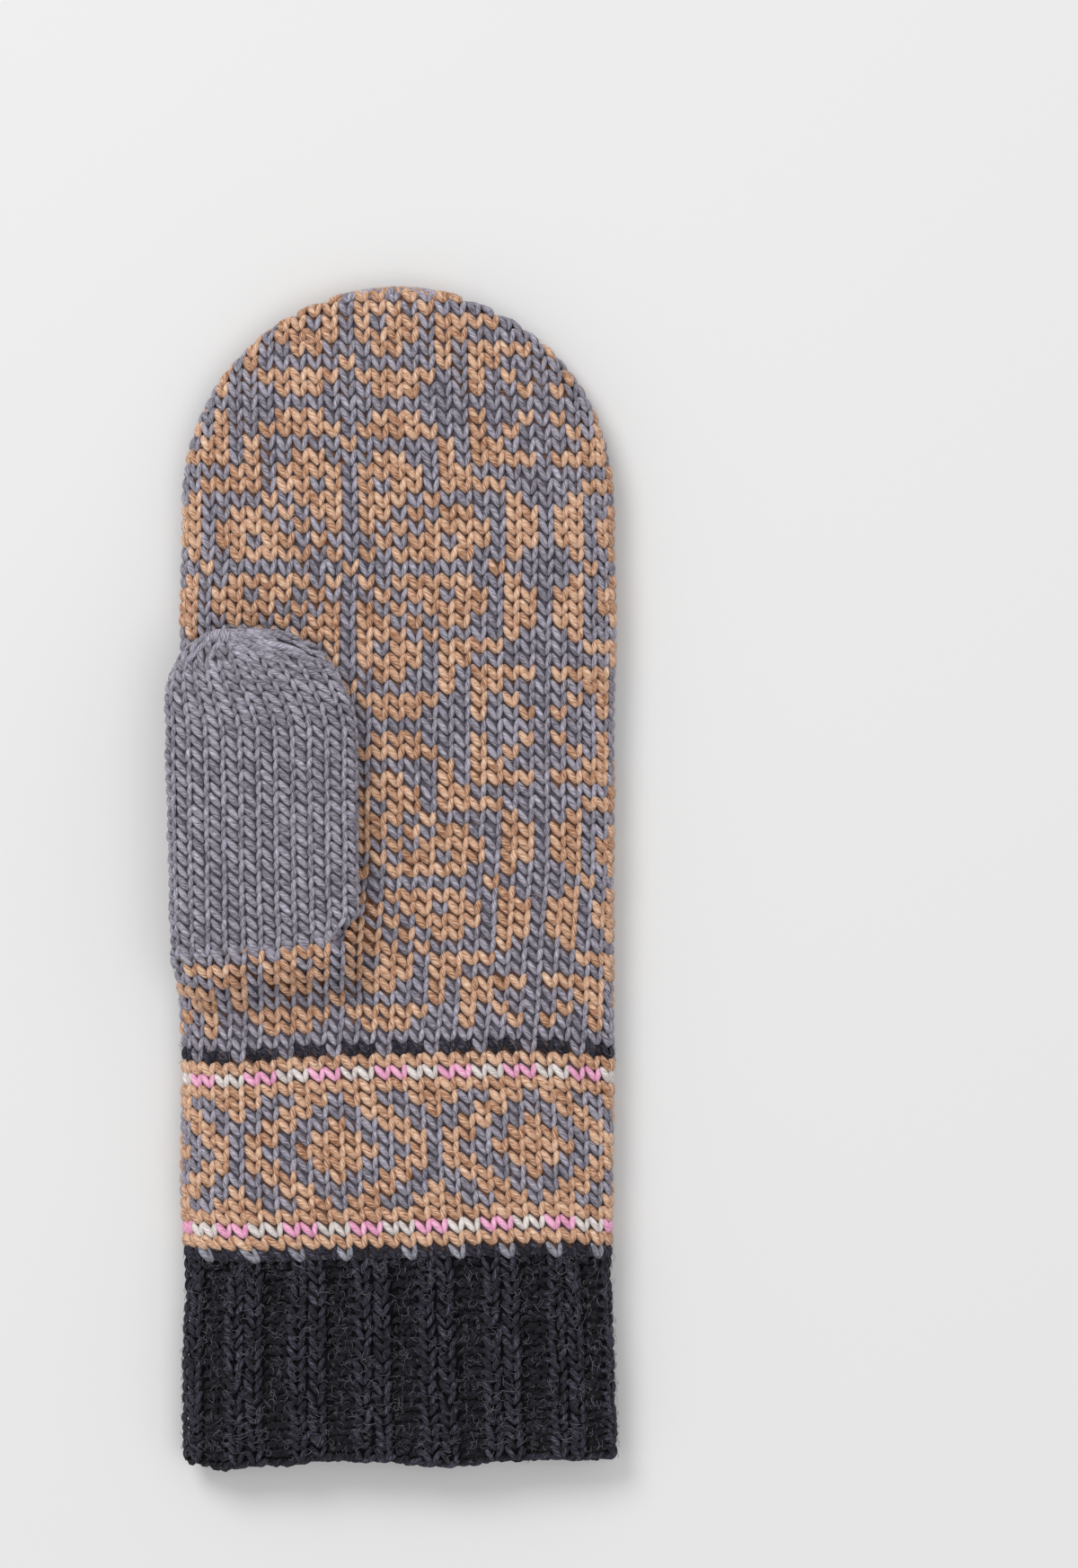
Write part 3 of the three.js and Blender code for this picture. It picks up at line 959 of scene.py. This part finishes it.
def knit_body(part, rows):
    """Knits the rows of one section, a piece for each yarn and face."""
    inside = (body_v >= rows[0]) & (body_v < rows[1]) & ~under_thumb
    for face, mask in (("palm", ~on_back(body_u)), ("back", on_back(body_u))):
        for yarn in range(len(YARNS)):
            chosen = inside & mask & (body_yarn == yarn)
            if not chosen.any():
                continue
            strands = Strands(PALM_STATIONS) if face == "palm" else plainer_strands()
            for lifted, here in ((False, ~lifted_part), (True, lifted_part)):
                surface = partial(body_surface, lifted=lifted, back=face == "back")
                these = chosen & here
                work(strands, surface, KNIT, body_u[these], body_v[these],
                     scale=FULLNESS.get(yarn, 1.0), sunk=rib_recess, end=STITCH_END)
            add_stitches(part, f"{part}_{face}_{YARNS[yarn]}", strands, yarn)


knit_body("border_band", (CUFF_ROWS, HAND_START))
knit_body("hand", (HAND_START, ROWS))

even_body = partial(body_surface, even=True)

# The last stitches are grafted together over the tip
GRAFT_ROWS = 1.0
GRAFT = [
    Leg(lambda t, foot: 0 * t, lambda t: GRAFT_ROWS * np.sin(math.pi * t / 2),
        lambda t: -1.75 + 1.4 * np.sin(math.pi * t / 2) ** 0.8, 1.0, slim=0.45),
]
for yarn, start in ((TAN, 0.0), (GREY, 2.0)):
    strands = Strands(PALM_STATIONS)
    graft_u = np.arange(start, STITCHES_ROUND, 4.0)
    work(strands, even_body, GRAFT, graft_u, np.full(len(graft_u), ROWS - GRAFT_ROWS))
    add_stitches("hand", f"tip_{YARNS[yarn]}", strands, yarn)

# Ribbed cuff, outside
cuff_u, cuff_v = every_stitch(chart_columns - CHART_CENTRE, CUFF_ROWS)
is_knit = rib_phase(cuff_u) < 1
for face, mask in (("palm", ~on_back(cuff_u)), ("back", on_back(cuff_u))):
    strands = Strands(PALM_STATIONS) if face == "palm" else plainer_strands()
    for legs, here in ((RIB_KNIT, is_knit), (PURL, ~is_knit)):
        these = mask & here
        work(strands, body_surface, legs, cuff_u[these], cuff_v[these], scale=1.05, sunk=rib_recess,
             jitter=2.0)
    add_stitches("cuff", f"cuff_{face}", strands, CHARCOAL)

LINING_DEPTH = 3.35


def cuff_lining(u, v):
    """The inside of the cuff, seen from the hollow."""
    return body_surface(-u, v, inset=LINING_DEPTH)


INNER_ROWS = 8
inner_u, inner_v = every_stitch(chart_columns - CHART_CENTRE, INNER_ROWS)
outside_knit = rib_phase(inner_u) < 1
strands = plainer_strands()
for legs, these in ((RIB_KNIT, ~outside_knit), (PURL, outside_knit)):
    work(strands, cuff_lining, legs, -inner_u[these], inner_v[these])
add_stitches("cuff", "cuff_inside", strands, CHARCOAL)

edge_wave = Unevenness(STITCHES_ROUND, 2, 2.5, 4)
EDGE_DEPTHS = (0.9, 2.7)


def cast_on(u, turn):
    """The edge of the cuff: turn runs from 0 on the outside over the edge to 1 on the inside."""
    outer, inner = (body_surface(-u, 0.3, inset=depth) for depth in EDGE_DEPTHS)
    point = mix(outer, inner, smooth(turn)[..., None])
    point[..., 1] -= 1.25 * np.sin(math.pi * np.clip(turn, 0, 1)) + 0.35 * edge_wave.at(u, 0 * u)
    return point


EDGE = [
    Leg(lambda t, foot: -0.62 + 1.24 * t, lambda t: 0.08 + 0.6 * t,
        lambda t: -0.75 + 0.65 * np.sin(math.pi * t), 0.95, slim=0.5),
    Leg(lambda t, foot: -0.2 + 1.1 * t, lambda t: 0.9 - 0.6 * t,
        lambda t: -0.8 + 0.6 * np.sin(math.pi * t), 0.8, slim=0.5),
]

strands = Strands(PALM_STATIONS)
edge_u = np.arange(STITCHES_ROUND, dtype=float)
work(strands, cast_on, EDGE, edge_u, np.zeros(len(edge_u)), jitter=1.6)
add_stitches("cuff", "cast_on_edge", strands, CHARCOAL)


def curls(name, surface, count, columns, rows, pitch, row_height, material, length, thick,
          stand, sunk=None):
    """Loose curly fibres that stand out of the yarn."""
    stations = 4
    strands = Strands(stations, sides=3)
    t = np.arange(stations + 2)
    u = rng.uniform(*columns, (count, 1))
    v = rng.uniform(*rows, (count, 1))
    heading = rng.uniform(0, 2 * math.pi, (count, 1))
    curl = rng.normal(0, 0.8, (count, 1)) + rng.normal(0, 0.35, (count, len(t)))
    angle = heading + np.cumsum(curl, axis=1)
    step = rng.uniform(0.5, 1.0, (count, 1)) * length / len(t)
    uu = u + np.cumsum(np.cos(angle) * step, axis=1) / pitch
    vv = v + np.cumsum(np.sin(angle) * step, axis=1) / row_height
    high = rng.uniform(0.1, 1.0, (count, 1)) ** 2 * stand
    lift = -0.55 + (0.55 + high) * np.sin(math.pi * (t / len(t) * rng.uniform(0.6, 1.0, (count, 1))))
    if sunk is not None:
        lift = lift - sunk(uu, vv)
    up = normals(surface, uu, vv)
    path = surface(uu, vv) + up * lift[..., None]
    path[..., 2] = np.maximum(path[..., 2], 0.25)
    width = np.full(lift.shape, thick) * rng.uniform(0.7, 1.3, (count, 1))
    shade = rng.uniform(0, 1, (count, 1)) * np.ones_like(lift)
    strands.add(path, up, width, 1.0, np.stack([shade, np.ones_like(shade)], axis=-1))
    return add_piece(name, strand_mesh(name, strands), material)


hair = {
    "charcoal": fibre_material("hair_charcoal", linear((40, 38, 48)), linear((112, 110, 122))),
    "tan": fibre_material("hair_tan", linear((196, 152, 118)), linear((236, 206, 178))),
    "grey": fibre_material("hair_grey", linear((128, 124, 140)), linear((196, 192, 208))),
}
pieces["cuff"].append(curls(
    "cuff_fibres", even_body, 4600, (0, STITCHES_ROUND), (0.5, CUFF_ROWS + 0.3), 3.55, 2.6,
    hair["charcoal"], 4.6, 0.045, 0.9, sunk=rib_recess))
pieces["border_band"].append(curls(
    "band_fibres", even_body, 400, (0, STITCHES_ROUND), (HAND_START - 1.1, HAND_START + 0.3),
    3.55, 2.9, hair["charcoal"], 4.0, 0.045, 0.8))

# Thumb
thumb_u, thumb_v = every_stitch(np.arange(-8, 8) + 0.5, THUMB_EVEN_ROWS + 1)
strands = Strands(PALM_STATIONS)
work(strands, thumb_surface, THUMB_KNIT, thumb_u, thumb_v)
lowest = thumb_v == 0
work(strands, thumb_surface, PICKED_UP, thumb_u[lowest], thumb_v[lowest])


def gathered(u, v):
    """The last stitches of the thumb are drawn together at its tip."""
    pull = smooth((v - THUMB_EVEN_ROWS) / THUMB_TIP_ROWS)
    return thumb_surface(u * (1 - 0.75 * pull * np.maximum(0, 1 - (u / 7) ** 2)), v)


# Towards the tip two columns are drawn together into one
DRAWN_IN = [
    Leg(lambda t, foot: mix(0.3, -0.95, eased(t)), lambda t: -0.34 + 1.5 * t,
        arched(-1.35, 1.05, 0.05, 0.85), 0.94, slim=0.6),
    Leg(lambda t, foot: mix(0.55, 0.85, eased(t)), lambda t: -0.3 + 1.5 * t,
        arched(-1.3, 1.0, 0.06, 0.8), 0.8, slim=0.6),
]
GATHER = [
    Leg(lambda t, foot, place=place: mix(place, 0.7 * place, t),
        lambda t: 1.3 * np.sin(math.pi * t / 2),
        lambda t: -1.2 + 0.85 * np.sin(math.pi * (0.1 + 0.8 * t)) ** 0.8, 0.95, slim=0.45)
    for place in (-0.6, 0.1, 0.75)
]
drawn_u = np.arange(-THUMB_STITCHES // 2, THUMB_STITCHES // 2, 2) + 1.0
for legs, rows_on in ((DRAWN_IN, 0.85), (DRAWN_IN, 1.75), (GATHER, 2.5)):
    work(strands, gathered, legs, drawn_u, np.full(len(drawn_u), THUMB_EVEN_ROWS + rows_on))
add_stitches("thumb", "thumb_stitches", strands, GREY)


def closed_shell(name, outer, inner, material, joined, tan=None):
    """Closed wall between two grids of points, as a sleeve or closed at its far end."""
    rows, round_count = outer.shape[:2]
    points = np.concatenate([inner[::-1].reshape(-1, 3), outer.reshape(-1, 3)])
    points[:, 2] = np.maximum(points[:, 2], LOWEST)
    total = 2 * rows
    steps = np.arange(total if joined else total - 1)
    k, j = np.meshgrid(steps, np.arange(round_count), indexing="ij")
    nxt = (j + 1) % round_count
    k_next = (k + 1) % total
    quads = np.stack([
        k * round_count + j, k * round_count + nxt,
        k_next * round_count + nxt, k_next * round_count + j], -1).reshape(-1, 4)
    triangles = np.zeros((0, 3), int)
    if not joined:
        ends = []
        for row, flip in ((0, True), (total - 1, False)):
            middle = len(points)
            ring = points[row * round_count:(row + 1) * round_count]
            points = np.concatenate([points, ring.mean(axis=0)[None]])
            js = np.arange(round_count)
            a, b = row * round_count + js, row * round_count + (js + 1) % round_count
            pair = (b, a) if flip else (a, b)
            ends.append(np.stack([np.full(round_count, middle), *pair], -1))
        triangles = np.concatenate(ends)
    mesh = fill_mesh(name, points, quads, triangles)
    tones = np.full((len(points), 1), 0.5)
    if tan is not None:
        tones[rows * round_count:2 * rows * round_count, 0] = tan
    set_tone(mesh, tones)
    return add_piece(name, mesh, material)


def shell_grid(surface, v_places, columns, count):
    u = np.linspace(0, columns, count, endpoint=False)
    uu, vv = np.meshgrid(u, v_places)
    return uu, vv, surface(uu, vv)


GROUND_DEPTH = 1.45
THUMB_GROUND_DEPTH = 1.3
BODY_WALL = 3.1
CUFF_WALL = 2.95
THUMB_WALL = 2.2
# The shells stay this part of a row clear of each other
SHELL_GAP = 0.02
ROUND_FACETS = 180
THUMB_FACETS = 96
CROWDED_ROWS = 8


def body_ground(name, start, end, wall, material, slot, joined):
    if joined:
        places = np.linspace(start, end, int(end - start) + 2)
    else:
        near_tip = end - CROWDED_ROWS * (1 - np.sin(np.linspace(0, math.pi / 2, 16)))
        places = np.concatenate([np.arange(start, end - CROWDED_ROWS, 0.8), near_tip])
    uu, vv, face = shell_grid(even_body, places, STITCHES_ROUND, ROUND_FACETS)
    up = normals(even_body, uu, vv)
    outer = face - up * (GROUND_DEPTH + rib_recess(uu, vv))[..., None]
    crown = vv > CROWN_ROW
    outer[crown] = body_surface(uu[crown], vv[crown], inset=GROUND_DEPTH, even=True)
    _, _, inner = shell_grid(lambda u, v: body_surface(u, v, inset=wall, even=True), places,
                             STITCHES_ROUND, ROUND_FACETS)
    columns = np.rint(uu + CHART_CENTRE).astype(int)
    rows = np.clip(np.floor(vv), 0, ROWS - 1).astype(int)
    yarns = [yarn_of(int(c), int(r)) for c, r in zip(columns.ravel(), rows.ravel())]
    return closed_shell(name, outer, inner, material, joined, np.array(yarns) == TAN)


grounds = (
    ("cuff", 0.15, CUFF_ROWS - SHELL_GAP, CUFF_WALL, ground["dark"], "charcoal_wool", True),
    ("border_band", CUFF_ROWS + SHELL_GAP, HAND_START - SHELL_GAP, BODY_WALL, ground["mixed"],
     "patterned_wool", True),
    ("hand", HAND_START + SHELL_GAP, ROWS - 0.5, BODY_WALL, ground["mixed"], "patterned_wool", False),
)
for node, *shape in grounds:
    pieces[node].append(body_ground(f"{node}_ground", *shape))

thumb_places = np.concatenate([
    np.linspace(0.1, THUMB_EVEN_ROWS, 60),
    THUMB_EVEN_ROWS + (THUMB_TIP_ROWS - 0.45) * np.sin(np.linspace(0.03, math.pi / 2, 30))])
uu, vv, face = shell_grid(thumb_surface, thumb_places, THUMB_STITCHES, THUMB_FACETS)
outer = face - normals(thumb_surface, uu, vv) * THUMB_GROUND_DEPTH
inner = thumb_surface(uu, vv, inset=THUMB_WALL)
for yarn in (TAN, GREY):
    pieces["hand"].append(curls(
        f"hand_fibres_{YARNS[yarn]}", even_body, 700, (0, STITCHES_ROUND), (HAND_START, ROWS - 3),
        3.6, 3.1, hair[YARNS[yarn]], 4.0, 0.035, 0.6))
pieces["thumb"].append(curls(
    "thumb_fibres", thumb_surface, 400, (-8, 8), (0.5, 27), 4.25, 2.57, hair["grey"],
    4.0, 0.035, 0.6))
pieces["thumb"].append(
    closed_shell("thumb_ground", outer, inner, ground["grey"], False))

for node in ("cuff", "border_band", "hand", "thumb"):
    for piece in pieces[node]:
        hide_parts(node)

# Floor, camera and light
floor_mesh = bpy.data.meshes.new("floor")
FLOOR_HALF = 3.0
corners = [(x * FLOOR_HALF, y * FLOOR_HALF, 0) for x, y in ((-1, -1), (1, -1), (1, 1), (-1, 1))]
floor_mesh.from_pydata(corners, [], [(0, 1, 2, 3)])
floor = bpy.data.objects.new("floor", floor_mesh)
bpy.context.scene.collection.objects.link(floor)
paper = Nodes("paper")
set_inputs(paper.shader, {
    "Base Color": linear((220, 220, 220)), "Roughness": 0.9, "Specular IOR Level": 0.1})
floor_mesh.materials.append(paper.material)

scene = bpy.context.scene
scene.view_settings.view_transform = "Standard"
world = bpy.data.worlds.new("studio")
scene.world = world
world.use_nodes = True
set_inputs(world.node_tree.nodes["Background"], {"Color": (1, 1, 1, 1), "Strength": 0.6})


def area_light(name, place, size, power, target=(0, 0, 0)):
    data = bpy.data.lights.new(name, "AREA")
    data.shape = "DISK"
    data.size = size
    data.energy = power
    lamp = bpy.data.objects.new(name, data)
    lamp.location = place
    direction = np.array(target) - np.array(place)
    tilt = math.atan2(math.hypot(direction[0], direction[1]), -direction[2])
    heading = math.atan2(direction[1], direction[0])
    lamp.rotation_euler = (tilt, 0, heading - math.pi / 2)
    scene.collection.objects.link(lamp)


area_light("key", (-0.8, 1.1, 1.5), 1.0, 20)
area_light("fill", (0.5, -0.4, 2.2), 1.8, 13)

# The photograph is 1200 pixels wide at 0.209 mm a pixel and looks straight down
PHOTO_PIXELS = (1200, 1745)
MM_PER_PIXEL = 0.209
BODY_MIDDLE_PIXEL = (436.5, 977.9)
CAMERA_DISTANCE = 2.0
MIDDLE_HEIGHT = 0.012
SENSOR = 36.0
photo_centre = np.array([
    (PHOTO_PIXELS[0] / 2 - BODY_MIDDLE_PIXEL[0]) * MM_PER_PIXEL,
    (BODY_MIDDLE_PIXEL[1] - PHOTO_PIXELS[1] / 2) * MM_PER_PIXEL,
]) * MM
camera_data = bpy.data.cameras.new("camera")
camera_data.sensor_fit = "VERTICAL"
camera_data.sensor_height = SENSOR
camera_data.lens = SENSOR * CAMERA_DISTANCE / (PHOTO_PIXELS[1] * MM_PER_PIXEL * MM)
camera = bpy.data.objects.new("camera", camera_data)
camera.location = (photo_centre[0], photo_centre[1], CAMERA_DISTANCE + MIDDLE_HEIGHT)
scene.collection.objects.link(camera)
scene.camera = camera
